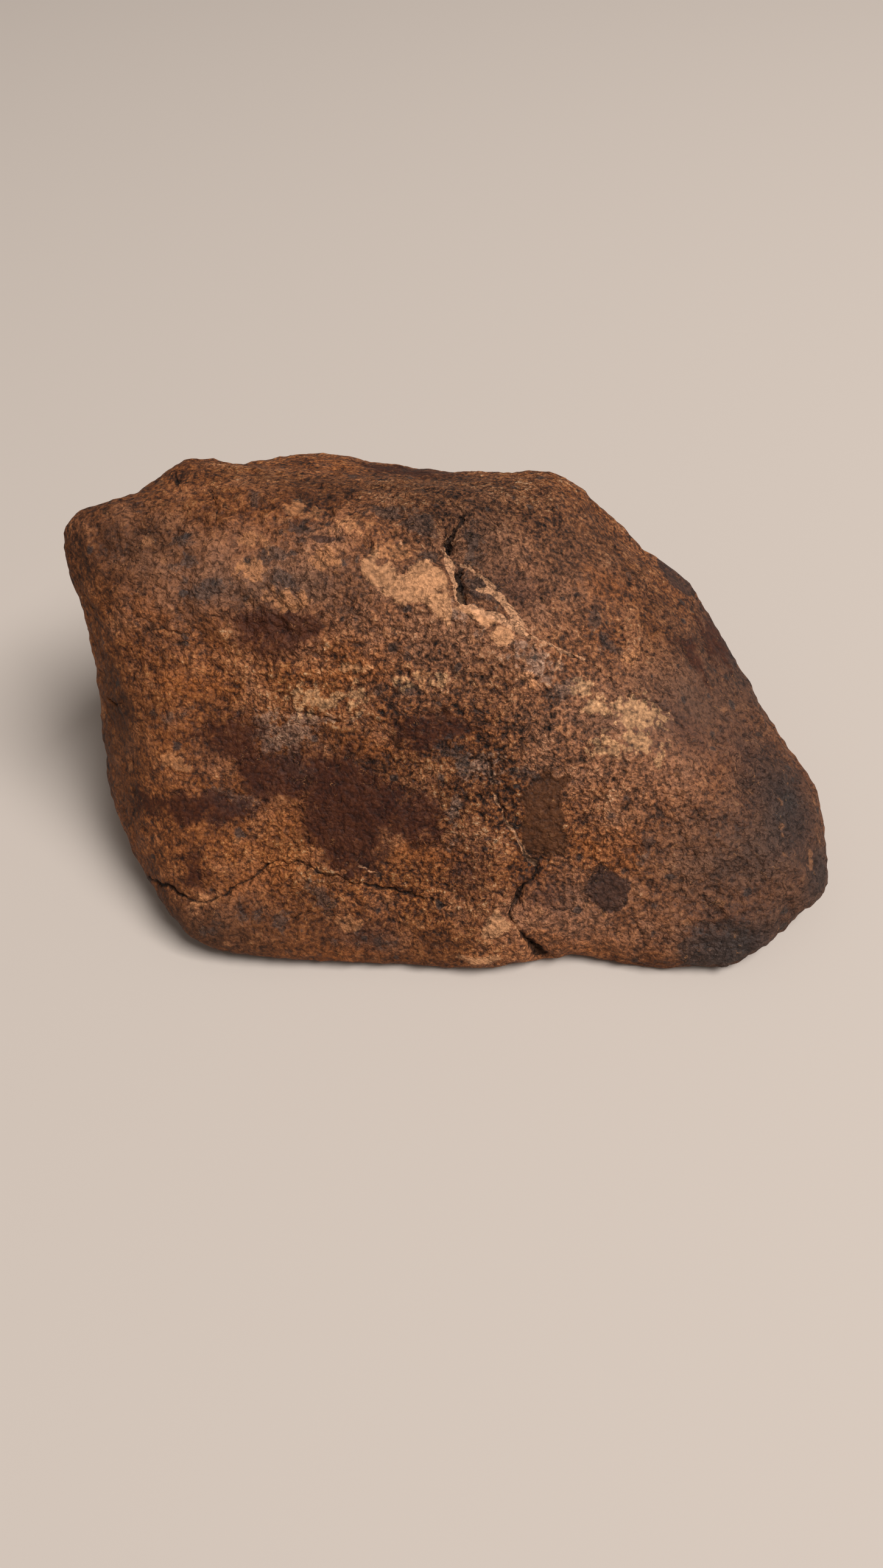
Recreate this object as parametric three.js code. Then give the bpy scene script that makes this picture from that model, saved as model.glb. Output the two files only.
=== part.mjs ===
// A weathered stone meteorite, one solid that rests on a small flat spot.
// Millimetres, +Z up, +X along the stone's length, +Y away from its broad front.
//
// The stone is a block with soft faces, seen from a core point inside it. Every point
// of its skin lies in some direction from the core, so the whole form is one radius for
// each direction: the soft faces first, then lumps and hollows, cracks and grain.

import * as THREE from 'three';
import { ImprovedNoise } from 'three/addons/math/ImprovedNoise.js';
import { mergeVertices } from 'three/addons/utils/BufferGeometryUtils.js';

// Driving dimensions

const CORE_HEIGHT = 26;        // from the flat spot up to the core point
const EDGE_SHARPNESS = 16;     // higher makes the edges between the faces crisper
const LEAST_SLANT = 0.4;       // heights are stretched no further than this where the skin slants
const SKIN_DETAIL = 21;        // cuts along each edge of the icosahedron
const EVENING_ROUNDS = 120;    // passes that even out the sizes of the triangles

// Faces: the way each looks out from the core, in degrees (azimuth 0 is +X and 90 is
// +Y, elevation is up from the level), and its distance from the core in millimetres.
const FACES = {
  front: [-91, 39, 15.5],
  frontFoot: [-87, 11, 31.5],
  frontRight: [-61, 31, 42],
  frontRightFoot: [-63, 6, 53.5],
  frontLeft: [-135, 22, 42],
  crest: [-88, 56, 20],
  top: [-80, 78, 26],
  shoulder: [-39, 63, 21],
  shoulderBack: [-14, 55, 27],
  crown: [84, 65, 32.5],
  rightEnd: [11, 21, 51],
  rightFacet: [-19, 36, 54],
  leftEnd: [-155, 9, 62],
  leftEndTop: [-157, 12, 60.5],
  leftCorner: [119, 55, 47],
  back: [79, -20, 32.5],
  backLeft: [143, -20, 43.5],
  backRight: [27, -13, 55.5],
  backBelow: [90, -48, 38],
  leftBelow: [-171, -51, 49.5],
  rightBelow: [10, -56, 60],
  underLeft: [180, -82, 30],
  underRight: [0, -82, 31],
  underFront: [-90, -84, 29.5],
  underBack: [90, -78, 29.5],
  base: [0, -90, 28],
};

// Lumps stand proud and hollows go in: direction in degrees, then reach and height in
// millimetres, the height square to the skin. A hollow's height is negative.
const LUMPS = {
  frontDome: [-86, 28, 26, 1.8],
  frontHollow: [-128, 2, 12, -0.8],
  topLump: [-130, 52, 9, 0.8],
  upperPit: [78, 77, 4, -0.8],
  shoulderHollow: [-24, 34, 12, -1],
  backHollowLeft: [118, -6, 13, -1.6],
  backHollowRight: [62, -2, 12, -1.6],
  backKnob: [92, -14, 10, 1.2],
  backFootHollow: [78, -36, 10, -1.2],
  leftEndHollow: [-176, -14, 12, -1.2],
  leftUnderHollow: [-158, -44, 9, -0.8],
  rightUnderHollow: [22, -34, 12, -1.4],
  rightEndHollow: [24, -6, 11, -1.2],
  tipHollow: [-17, -11, 6, -0.6],
  edgeLump: [-11, -11, 11, 2.6],
  endCorner: [-37, -22, 9, 3],
  endFoot: [-43, -25, 12, 2.2],
  archLump: [-49, -28, 6, 2],
  crackMouth: [-55, -29, 6, -0.8],
  frontToe: [-80, -31, 12, 2.2],
  leftFoot: [-128, -27, 17, 0.4],
  leftKnee: [-160, -20, 11, 0.4],
  leftHollow: [177, 8, 14, -1.4],
  farLeftCorner: [167, 22, 10, 2],
  leftSaddle: [162, 26, 6, -1.8],
  leftHorn: [148, 31, 6, 2.8],
  crownRise: [119, 23, 9, 1.4],
  rightHorn: [62, 25, 6, 1.2],
  rightDip: [45, 17, 11, -3.2],
  farBulge: [37, 10, 8, -2],
};

// Cracks: the directions each runs through, in degrees. The skin sags towards them.
const CRACKS = {
  low: [
    [-155, -17], [-141, -16], [-136, -16], [-133, -14], [-129, -14], [-117, -18], [-104, -22], [-85, -23],
  ],
  middle: [[-69, 15], [-68, -3], [-64, -12], [-62, -18], [-72, -22], [-67, -28]],
  upper: [[87, 60], [80, 74], [30, 82], [23, 77]],
};
const CRACK_REACH = 1.7;
const CRACK_DEPTH = 0.45;

// Uneven skin: wave lengths and heights in millimetres
const SWELL_LENGTH = 21;
const SWELL_HEIGHT = 0.75;
const KNOB_LENGTH = 10;
const KNOB_HEIGHT = 0.45;
const GRAIN_LENGTH = 6;
const GRAIN_HEIGHT = 0.2;
const WAVE_PHASE = 6.4;         // picks which stretch of the noise the skin shows

const STONE = { color: 0x5c3a28, roughness: 0.72, metalness: 0 };

// Directions

function direction([azimuth, elevation]) {
  const turn = THREE.MathUtils.degToRad(azimuth);
  const rise = THREE.MathUtils.degToRad(elevation);
  const level = Math.cos(rise);
  return new THREE.Vector3(level * Math.cos(turn), level * Math.sin(turn), Math.sin(rise));
}

// Soft faces: the nearest face wins, and the power mean rounds the edges between them

const faces = Object.values(FACES).map(([azimuth, elevation, distance]) => ({
  normal: direction([azimuth, elevation]),
  distance,
}));

function blockSkin(way) {
  let sum = 0;
  const lean = new THREE.Vector3();
  for (const { normal, distance } of faces) {
    const nearness = Math.max(0, normal.dot(way) / distance);
    sum += nearness ** EDGE_SHARPNESS;
    lean.addScaledVector(normal, nearness ** (EDGE_SHARPNESS - 1) / distance);
  }
  const radius = sum ** (-1 / EDGE_SHARPNESS);
  return {
    point: way.clone().multiplyScalar(radius),
    radius,
    slant: lean.normalize().dot(way),     // 1 where the skin faces the core squarely
  };
}

// Lumps and hollows: each is a round bell on the block's skin

const lumps = Object.values(LUMPS).map(([azimuth, elevation, reach, height]) => ({
  centre: blockSkin(direction([azimuth, elevation])).point,
  reach,
  height,
}));

function lumpHeight(point) {
  let height = 0;
  for (const lump of lumps) {
    height += lump.height * Math.exp(-point.distanceToSquared(lump.centre) / lump.reach ** 2);
  }
  return height;
}

// Cracks

const crackLines = Object.values(CRACKS).flatMap((route) => {
  const points = route.map((bearing) => blockSkin(direction(bearing)).point);
  return points.slice(1).map((point, i) => new THREE.Line3(points[i], point));
});

function crackDepth(point) {
  const nearest = new THREE.Vector3();
  let gap = Infinity;
  for (const line of crackLines) {
    line.closestPointToPoint(point, true, nearest);
    gap = Math.min(gap, nearest.distanceTo(point));
  }
  return CRACK_DEPTH * Math.exp(-((gap / CRACK_REACH) ** 2));
}

// Uneven skin

const perlin = new ImprovedNoise();

function wave(point, length, height) {
  const phase = WAVE_PHASE;
  return height * perlin.noise(
    point.x / length + phase,
    point.y / length + phase,
    point.z / length + phase,
  );
}

function skinHeight(point) {
  return (
    wave(point, SWELL_LENGTH, SWELL_HEIGHT)
    + wave(point, KNOB_LENGTH, KNOB_HEIGHT)
    + wave(point, GRAIN_LENGTH, GRAIN_HEIGHT)
  );
}

// The stone: one closed skin, cut level where it rests

function stoneRadius(way) {
  const { point, radius, slant } = blockSkin(way);
  const proud = lumpHeight(point) + skinHeight(point) - crackDepth(point);
  const reach = radius + proud / Math.max(slant, LEAST_SLANT);
  return way.z < 0 ? Math.min(reach, CORE_HEIGHT / -way.z) : reach;
}

function settle(point) {
  point.normalize();
  return point.multiplyScalar(stoneRadius(point));
}

// Moves each corner to the middle of the area around it, then back onto the skin
function evenOut(points, corners) {
  const sums = points.map(() => new THREE.Vector3());
  const areas = points.map(() => 0);
  const triangle = new THREE.Triangle();
  const middle = new THREE.Vector3();
  for (let i = 0; i < corners.length; i += 3) {
    const around = [corners[i], corners[i + 1], corners[i + 2]];
    triangle.set(...around.map((corner) => points[corner]));
    const area = triangle.getArea();
    triangle.getMidpoint(middle);
    for (const corner of around) {
      sums[corner].addScaledVector(middle, area);
      areas[corner] += area;
    }
  }
  return sums.map((sum, corner) => settle(sum.divideScalar(areas[corner])));
}

function stoneGeometry() {
  const sphere = new THREE.IcosahedronGeometry(1, SKIN_DETAIL);
  sphere.deleteAttribute('normal');
  sphere.deleteAttribute('uv');
  const skin = mergeVertices(sphere);
  const place = skin.getAttribute('position');
  let points = [];
  for (let i = 0; i < place.count; i += 1) {
    points.push(settle(new THREE.Vector3().fromBufferAttribute(place, i)));
  }
  for (let round = 0; round < EVENING_ROUNDS; round += 1) {
    points = evenOut(points, skin.index.array);
  }
  skin.setFromPoints(points);
  skin.computeVertexNormals();
  return skin;
}

const stone = new THREE.Mesh(stoneGeometry(), new THREE.MeshStandardMaterial(STONE));
stone.name = 'meteorite';

// The origin is under the middle of the stone, on the ground
const extent = new THREE.Box3().setFromObject(stone, true);
const middle = extent.getCenter(new THREE.Vector3());
stone.position.set(-middle.x, -middle.y, -extent.min.z);

const part = new THREE.Group();
part.add(stone);

export default part;
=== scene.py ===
import math

import bmesh
import bpy
import numpy as np
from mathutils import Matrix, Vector, noise
from mathutils.bvhtree import BVHTree
from mathutils.kdtree import KDTree


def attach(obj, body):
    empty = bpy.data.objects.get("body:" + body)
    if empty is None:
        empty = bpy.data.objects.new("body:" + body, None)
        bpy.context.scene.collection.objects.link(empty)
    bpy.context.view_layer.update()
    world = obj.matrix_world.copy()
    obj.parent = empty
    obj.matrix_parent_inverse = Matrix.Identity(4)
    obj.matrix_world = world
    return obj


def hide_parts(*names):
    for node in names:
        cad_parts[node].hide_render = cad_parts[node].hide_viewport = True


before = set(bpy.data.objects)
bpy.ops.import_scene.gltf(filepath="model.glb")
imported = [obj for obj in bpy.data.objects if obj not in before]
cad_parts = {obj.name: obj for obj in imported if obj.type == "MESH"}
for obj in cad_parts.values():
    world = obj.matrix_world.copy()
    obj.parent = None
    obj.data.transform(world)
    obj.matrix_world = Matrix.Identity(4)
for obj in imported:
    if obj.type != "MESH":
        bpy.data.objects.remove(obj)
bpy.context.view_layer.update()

bl_info = {
    "name": "Weathered meteorite",
    "version": (1, 0, 0),
    "blender": (4, 5, 0),
    "location": "3D View > Sidebar > Meteorite",
    "description": "A weathered stone meteorite with its crust, cracks and stains",
    "category": "Add Mesh",
}

MM = 0.001

# Every bearing below is (azimuth, elevation) in degrees from the core, a point inside the
# stone. Azimuth 0 is +X and 90 is +Y, and elevation is up from the level.
CORE = Vector((-3, -3, 26)) * MM

# Markings: (azimuth, elevation, half length, half width, turn), in degrees and millimetres.
# A patch lies along the level line of the skin, turned by the last number. Many bearings
# here and in the lines below are a scratch converter's, rounded: report.md says which.
PATCHES = {
    "rust": {
        "crest glow": (-142, 44, 6.5, 3, 5),
        "front glow": (-123, 16, 4, 1.5, 10),
        "stain glow": (-137, -6, 4, 2.5, -5),
        "middle glow": (-95, -15, 5, 2.5, 0),
        "upper glow": (-72, 27, 3, 1.5, 0),
        "edge glow": (-114, -29, 6, 2, 5),
        "low glow": (-61, -26, 5, 1.5, -25),
        "right glow": (-45, -10, 5.5, 3.5, 0),
        "left glow": (-177, 24, 3.5, 2, 10),
        "left glow low": (-166, 17, 4.5, 1.5, 0),
        "crack glow": (-135, -16, 6, 2.5, 25),
        "shoulder glow": (20, 28, 5, 3, -50),
        "back glow": (110, 12, 10, 5, 0),
        "back glow low": (85, -30, 12, 5, 10),
        "left end glow": (-172, -22, 8, 5, 0),
        "right end glow": (24, -28, 8, 5, 0),
        "back right glow": (45, 0, 8, 6, 0),
    },
    "bloom": {
        "grey film": (-149, 13, 4.5, 3, -5),
        "film foot": (-142, 4, 3, 2, 15),
        "film line": (-147, 20, 5.5, 1, 0),
        "band film": (-147, -3, 4, 2, 5),
        "middle film": (-73, 11, 2.5, 1.5, -10),
        "middle film low": (-84, -5, 3.5, 1, 80),
        "shoulder film": (-27, 30, 3, 2.5, -40),
        "vein film": (-45, 77, 3.5, 1.5, -20),
        "crest film": (-30, 40, 4, 2, -50),
        "back film": (76, 0, 8, 5, 10),
        "left end film": (168, -6, 6, 5, 0),
        "under film": (120, -60, 9, 7, 0),
        "right under film": (10, -40, 8, 5, 0),
    },
    "chocolate": {
        "broad stain": (-123, -6, 9.5, 6.5, -88),
        "stain foot": (-114, -14, 4, 3.5, 20),
        "stain neck": (-144, 1, 6, 3.5, -5),
        "stain head": (-134, 5, 5, 3, -30),
        "stain bridge": (-112, -3, 5, 4.5, 0),
        "left band": (-150, -4, 9, 2.5, 5),
        "band end": (-157, -5, 3.5, 2, 35),
        "red stain": (-155, 9, 4.5, 3.5, -10),
        "crest stain": (-168, 38, 7.5, 3.5, 5),
        "side stain": (-100, -5, 4.5, 4.5, 90),
        "upper stain": (-95, 28, 6, 2.5, 0),
        "slope stain": (5, 8, 3.5, 2, 60),
        "low blot": (-144, -13, 3, 1.5, 85),
        "back stain": (70, -18, 9, 6, 20),
        "under stain": (150, -40, 10, 7, -30),
        "right end stain": (14, 2, 6, 4, 0),
        "back top stain": (100, 30, 8, 4, 10),
    },
    "olive": {
        "flat patch": (-54, -1, 5, 3.5, -85),
        "patch foot": (-58, -9, 4, 3.5, 75),
        "patch tip": (-48, 4, 2, 1, -5),
    },
    "plum": {
        "round spot": (-49.5, -16.5, 3.7, 3.4, -60),
        "crest fleck": (163, 56, 3, 1, -10),
        "back spot": (118, 2, 6, 4, 15),
        "right back spot": (30, 8, 5, 4, 0),
        "under spot": (-168, -50, 7, 5, 0),
    },
    "charcoal": {
        "foot patch": (-40, -19, 6, 4.5, 0),
        "blue streak": (-40, -9, 2.5, 1, 90),
        "left dent": (-179, 33, 3.5, 1.2, 5),
        "crest dot": (180, 46, 2, 1.5, 0),
        "crest dot high": (173, 46, 2.5, 1.5, 0),
        "corner dot": (171, 35, 2, 1, 0),
        "left eye": (176, 34, 1.5, 1.5, 0),
        "left bar": (-163, 11, 3, 1, 10),
        "top blot": (154, 43, 3, 1, 50),
        "crown blot": (161, 52, 2, 1.5, -10),
        "cavity side": (109, 70, 3.5, 2, 25),
        "facet": (59, 69, 3, 1.5, 50),
        "hollow": (19, 77, 3, 2, 20),
        "vein blot": (-6, 71, 1.5, 1, -15),
        "throat blot": (110, 80, 2, 1, -50),
        "shoulder blot": (-3, 26, 2.5, 1.5, -35),
        "shoulder blot high": (5, 31, 2.5, 1.5, 30),
        "pair left": (-128, 42, 1.5, 1, 5),
        "pair right": (-111, 48, 1.5, 1, 5),
        "low blot": (-128, -21, 2, 1.5, 10),
        "low blot left": (-134, -19, 2, 1.5, 10),
        "low blot right": (-122, -20, 2, 1.5, -20),
        "low dot": (-137, -20, 1.5, 1, 0),
        "bottom blot": (-106, -28, 3, 1.5, 0),
        "rim streak": (-17, -7, 4, 1.5, -10),
        "upper band": (125, 64, 4.5, 1.5, -70),
        "crest spot": (177, 45, 1.5, 1, 0),
        "front dot": (-57, 7, 1.5, 1, 0),
        "front dot low": (-84, 17, 2, 2, 0),
        "back blot": (95, 5, 3, 2, 10),
        "back blot low": (60, -30, 3.5, 2, 0),
        "left end blot": (175, -10, 3, 4, 0),
        "under blot": (40, -48, 4, 3, 0),
        "left under blot": (-150, -52, 3, 3, 0),
    },
    "cream": {
        "pale patch": (-21, 13, 4.5, 3, -30),
        "patch foot": (-27, 9, 3.5, 2.5, -10),
        "crumb": (-32, 10, 2, 1.5, -5),
        "crumb high": (-26, 20, 2.5, 1.5, -10),
        "crest crumb": (-24, 25, 2, 1.5, -15),
        "left crumb": (-148, 27, 3, 1.5, 10),
        "left crumb right": (-137, 33, 1.5, 1.5, 0),
        "left strip": (-145, 44, 3.5, 0.5, 5),
        "middle strip": (-107, 54, 4, 1, 0),
        "back crumbs": (104, -10, 5, 3, -20),
        "right end crumbs": (34, -8, 4, 3, 0),
    },
    "tan": {
        "crest lump": (169, 44, 2.5, 1.5, 5),
        "crest lump left": (177, 42, 2.5, 2, 0),
        "crest lump low": (-175, 45, 3, 1.5, 0),
        "crown lump": (154, 51, 2.5, 1.5, 0),
        "crown lump right": (151, 60, 2, 1.5, -25),
        "band": (-141, 47, 3.5, 0.5, 10),
        "band end": (-104, 55, 2, 1, 90),
        "dull flake": (-114, -25, 3, 1.5, 0),
        "low flake": (-140, -17, 2.5, 1, 40),
        "left grains": (-158, 3, 2.5, 1.5, 30),
        "cheek": (-36, 39, 2.5, 1.5, -50),
        "throat skin": (151, 72, 3, 1, -15),
        "crest strip": (172, 57, 2.5, 1.5, 0),
        "shoulder dot": (-3, 21, 2, 1, -20),
        "back flake": (84, 14, 5, 3, 25),
        "back flake low": (126, -26, 3, 2, 0),
        "right end flake": (18, -18, 3, 2, 0),
        "left end flake": (-176, 2, 2.5, 2, 0),
        "back band": (60, 12, 7, 1.5, -10),
    },
    "peach": {
        "left": (173, 70, 2.5, 2, -35),
        "middle": (-168, 76, 3.5, 2.5, -15),
        "right": (175, 85, 3.5, 3, 65),
        "foot": (-106, 82, 2, 1.5, 75),
        "tip": (166, 68, 1.5, 1, 75),
        "vein blob": (-28, 59, 1.5, 1.5, 0),
        "under vein": (-29, 72, 4, 1, -45),
        "under throat": (-75, 81, 3, 1, 80),
        "loose flake": (-76, -24, 2.4, 2.7, 0),
        "edge flake": (-82, -29, 3.5, 1, 0),
    },
}

# Soft zones, given as patches are, that fade out past their edges
ZONES = {
    "ash": {
        "top": (80, 60, 30, 10, 60),
        "right shoulder": (33, 34, 14, 12, -30),
        "left corner": (174, 31, 9, 6, 0),
        "left foot": (-138, -20, 9, 4, -5),
    },
    # Darker brown: the crust's own around the stain and on the slope, and painted shade on the left
    # edge, along the top and in hollows
    "umber_and_painted_shade": {
        "around the stain": (-125, 2, 22, 10, -8),
        "slope": (12, 12, 9, 4, 60),
        "shoulder band": (6, 9, 8, 6, -30),
        "top middle": (60, 58, 14, 5, 0),
        "top left": (140, 44, 20, 7, 0),
        "left edge": (-170, 4, 8, 14, 0),
        "low left": (-134, -20, 20, 7, 0),
        "low middle": (-108, -28, 15, 5, 5),
        "left corner": (170, 30, 13, 8, 0),
        "tip": (-27, -15, 8, 4, 0),
    },
    "rose": {
        "front right": (-30, 12, 20, 11, -35),
        "crest": (-60, 72, 22, 9, -20),
        "shoulder": (20, 58, 16, 11, -40),
        "crest left": (174, 48, 18, 6, 5),
        "low right": (-57, -22, 13, 6, -10),
    },
    "taupe": {
        "right face": (-31, -9, 15, 9, 0),
        "right slope": (-8, 5, 16, 8, -50),
        "upper left": (-179, 44, 14, 4, 8),
        "back middle": (75, 0, 16, 10, 0),
        "under": (150, -50, 20, 14, 0),
    },
    "wine": {
        "column": (-82, -17, 5, 3, -85),
        "bottom smear": (-109, -27, 4, 3, 5),
        "crest tint": (-17, 5, 5, 3, 85),
        "middle smear": (-62, -20, 5, 3, 0),
        "upper tint": (13, 59, 4, 3, -50),
        "right end": (-14, -3, 7, 4, 60),
        "back": (100, -20, 12, 7, 0),
    },
    "slate": {
        "right end": (-17, -7, 13, 10, 30),
        "far end": (16, -5, 15, 11, 0),
        "right foot": (-37, -18, 11, 6, 10),
        "tip": (-22, -13, 8, 5, 20),
    },
    "knobbly": {
        "right foot": (-35, -13, 13, 11, -25),
        "right end": (-14, -4, 12, 10, 30),
        "left corner": (174, 31, 9, 6, 0),
        "left crown": (160, 48, 16, 8, 10),
        "upper left": (-175, 38, 20, 8, 5),
    },
    "smooth": {
        "upper left": (175, 42, 26, 11, 5),
        "left end": (-172, 0, 18, 16, 0),
        "right end": (-8, 2, 14, 10, 0),
        "back": (140, -15, 22, 14, 0),
        "under": (-60, -70, 22, 16, 0),
    },
    "grainy": {
        "front": (-64, 0, 26, 17, -60),
        "low middle": (-90, -22, 20, 7, 0),
        "back right": (60, -5, 20, 14, 0),
        "crown": (80, 60, 18, 12, 0),
    },
    # Painted highlight: a paler band along the crest that stands in for its sheen
    "crest_highlight": {
        "crest left": (175, 47, 13.5, 4, 0),
        "crest middle": (-50, 77, 12, 4, -35),
        "crest right": (-25, 13, 10.5, 5, -55),
    },
}

# Lines: each point is (azimuth, elevation, half width in millimetres)
CRACKS = {
    "low": [
        (-153, -18, 0.15), (-147, -15, 0.25), (-140, -17, 0.15), (-137, -16, 0.18), (-134, -14, 0.24),
        (-129, -15, 0.22), (-117, -19, 0.15), (-104, -22, 0.22), (-93, -23, 0.16), (-86, -23, 0.06),
    ],
    "low fork": [(-134, -15, 0.06), (-129, -15, 0.12)],
    "low drop": [(-111, -21, 0.06), (-110, -23, 0.1), (-108, -24, 0.05)],
    "front short": [(-151, 20, 0.06), (-146, 21, 0.18), (-137, 24, 0.15), (-132, 27, 0.06)],
    "middle": [
        (-67, 26, 0.05), (-68, 12, 0.12), (-69, 4, 0.12), (-68, -4, 0.12), (-65, -11, 0.12),
        (-62, -16, 0.18), (-64, -18, 0.2), (-67, -19, 0.45), (-71, -22, 0.5), (-72, -23, 0.4),
        (-71, -24, 0.2), (-71, -25, 0.3), (-69, -26, 0.6), (-67, -28, 1), (-66, -30, 1.2),
    ],
    "middle twig": [(-68, -6, 0.06), (-63, -3, 0.12), (-60, -2, 0.06)],
    "upper": [(88, 59, 0.06), (87, 66, 0.1), (84, 71, 0.15)],
    "throat": [
        (75, 60, 0.15), (76, 63, 0.3), (78, 67, 0.4), (79, 70, 0.6), (79, 73, 0.8), (78, 75, 0.5),
    ],
    "slit": [
        (52, 78, 0.25), (40, 81, 0.5), (9, 83, 0.5), (-20, 82, 0.45), (-29, 80, 0.4), (-32, 78, 0.15),
    ],
    "peach edge": [(150, 66, 0.06), (155, 67, 0.18), (158, 67, 0.12)],
    "top hair": [(65, 57, 0.12), (56, 56, 0.16), (52, 55, 0.06)],
    "crest hair": [(-18, 53, 0.07), (-14, 38, 0.1), (-12, 29, 0.1), (-15, 22, 0.12), (-18, 17, 0.06)],
    "crust line": [(-16, 17, 0.08), (-14, 12, 0.12), (-15, 7, 0.12), (-18, 4, 0.06)],
    "left arc": [(-175, 22, 0.07), (-175, 24, 0.18), (-173, 25, 0.12)],
    "left nick": [(-174, 5, 0.2), (-172, 6, 0.25), (-170, 8, 0.1)],
    "left joint": [(153, 31, 0.1), (156, 32, 0.2), (158, 34, 0.07)],
    "knob line": [(156, 37, 0.1), (160, 39, 0.2), (166, 39, 0.1)],
    "right hair": [(-33, 1, 0.06), (-29, -2, 0.08), (-30, -4, 0.06)],
    "slope line": [(-127, -21, 0.07), (-125, -22, 0.16), (-122, -22, 0.06)],
    "spot rim": [
        (-54, -19, 0.06), (-52, -16, 0.12), (-50, -14, 0.14), (-48, -13, 0.1), (-46, -14, 0.06),
    ],
    "foot line": [(-48, -19, 0.07), (-48, -20, 0.1), (-48, -22, 0.07)],
    "back crack": [
        (140, 20, 0.08), (125, 12, 0.15), (112, 8, 0.25), (100, 0, 0.2), (88, -6, 0.25), (74, -8, 0.15),
        (60, -16, 0.08),
    ],
    "left end crack": [(-158, -20, 0.15), (-166, -14, 0.15), (-174, -12, 0.1), (178, -4, 0.06)],
}

VEINS = {
    "top": [
        (56, 77, 0.25), (47, 76, 0.3), (34, 75, 0.3), (24, 73, 0.3), (14, 70, 0.35), (10, 69, 0.2),
    ],
    "body": [
        (6, 76, 0.35), (8, 72, 0.5), (7, 69, 0.7), (1, 66, 0.7), (-6, 62, 0.9), (-12, 58, 1),
        (-16, 55, 0.7), (-18, 52, 0.25),
    ],
    "low": [
        (-30, 77, 0.4), (-28, 74, 0.45), (-22, 70, 0.55), (-18, 66, 0.8), (-18, 62, 0.8),
        (-18, 54, 0.3),
    ],
    "hair": [(-18, 52, 0.25), (-17, 48, 0.22), (-14, 38, 0.22), (-12, 32, 0.18), (-12, 29, 0.08)],
    "twig": [(-14, 38, 0.16), (-21, 36, 0.2), (-25, 35, 0.14), (-31, 32, 0.08)],
    "throat rim": [
        (83, 71, 0.12), (85, 74, 0.3), (82, 77, 0.5), (71, 80, 0.9), (50, 83, 0.7), (-3, 84, 0.6),
        (-34, 81, 0.7), (-41, 78, 0.4),
    ],
    "middle rim": [
        (-69, 0, 0.08), (-68, -5, 0.16), (-65, -11, 0.25), (-64, -13, 0.3), (-62, -16, 0.15),
    ],
    "peach hair": [(134, 72, 0.1), (140, 75, 0.12), (142, 76, 0.08)],
    "low rim": [(-122, -15, 0.08), (-112, -18, 0.1), (-100, -21, 0.06)],
}

# The skin's mesh: sizes in millimetres
MERGE_GAP = 1e-4             # corners nearer than this are one
SMOOTH_ROUNDS = 2            # each splits every edge in two and rounds the skin
LOOP_FACTOR = 0.75           # how far a round moves each corner to its neighbours' middle
CRACK_BANDS = (1.0, 0.45)    # the gap to a crack within which each further split is made
TRACE_STEP = 0.2             # between the points along a crack or vein
CROOK_LENGTH = 2.4           # over which a crack or vein strays from its route
CROOK_NOISE = (1.0, 2.0, 3)  # fractal increment, lacunarity and octaves of its straying
CRACK_CROOK = 0.6            # how far a crack strays
VEIN_CROOK = 0.35            # how far a vein strays
DEEPEST = 2.0                # no crack is cut deeper
CRACK_SKIRT = 0.07           # added to a crack's half width where it is cut
BEND_LENGTH = 4.0            # over which the outlines of patches bend
PATCH_BEND = 1.3             # how far they bend
BEND_SEED = 4                # picks the way they bend
RISE_EDGE = 0.35             # over which a flake or vein rises from the skin
FAR = 9.0                    # stands for any greater gap
ZONE_FADE = 0.7              # higher makes soft zones end sooner

# Films that smooth the skin under them
CALM_FILMS = ("chocolate", "olive", "plum", "cream", "peach")

# Relief layers: noise detail, then the layer's strength on even skin, and what knobbly
# and calm skin add to it
LAYERS = {
    "Swell": (2.0, 0.9, 1.1, -0.3),
    "Knob": (3.0, 0.8, 1.4, -0.6),
    "Grain": (2.0, 0.9, 0.4, -0.8),
}
LAYER_ROUGHNESS = 0.6        # noise roughness of every layer
OPEN_PIT = (0.08, 0.3)       # from full depth to none, as shares of the pits' spacing
PITLESS_SHARE = 0.45         # share of the places for a pit that have none
LIFTED = (0.1, 1.2)          # heights between which relief fades in above the flat spot


def linear(hex_colour):
    """An sRGB hex colour as linear red, green and blue."""
    parts = [int(hex_colour[i:i + 2], 16) / 255 for i in (0, 2, 4)]
    return tuple(p / 12.92 if p <= 0.04045 else ((p + 0.055) / 1.055) ** 2.4 for p in parts)


def add(tree, kind, links=None, out=0, **settings):
    """Adds a node, sets its properties, feeds its inputs by name or by place, and gives
    back one of its outputs, or nothing where it has none."""
    node = tree.nodes.new(kind)
    for name, value in settings.items():
        setattr(node, name, value)
    for socket, value in (links or {}).items():
        if isinstance(value, bpy.types.NodeSocket):
            tree.links.new(value, node.inputs[socket])
        else:
            node.inputs[socket].default_value = value
    return None if out is None else node.outputs[out]


# Places on the skin


def heading(azimuth, elevation):
    """The way from the core along a bearing."""
    turn, rise = math.radians(azimuth), math.radians(elevation)
    level = math.cos(rise)
    return Vector((level * math.cos(turn), level * math.sin(turn), math.sin(rise)))


def on_skin(skin, way):
    """Where a way from the core leaves the stone, and the skin's normal there."""
    spot, normal, _, _ = skin.ray_cast(CORE, way)
    if spot is None:
        raise RuntimeError("the core lies outside the stone")
    return spot, normal


def trace(skin, route, crook):
    """Points along a crooked line on the skin, and the line's half width at each."""
    points, widths = [], []
    for start, end in zip(route, route[1:]):
        first, last = heading(*start[:2]), heading(*end[:2])
        span = on_skin(skin, last)[0] - on_skin(skin, first)[0]
        steps = max(1, round(span.length / (TRACE_STEP * MM)))
        for step in range(steps):
            share = step / steps
            spot, normal = on_skin(skin, first.lerp(last, share))
            stray = noise.fractal(spot / (CROOK_LENGTH * MM), *CROOK_NOISE) * crook * MM
            points.append(on_skin(skin, spot + span.cross(normal).normalized() * stray - CORE)[0])
            widths.append(start[2] + share * (end[2] - start[2]))
    return points, widths


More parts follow.
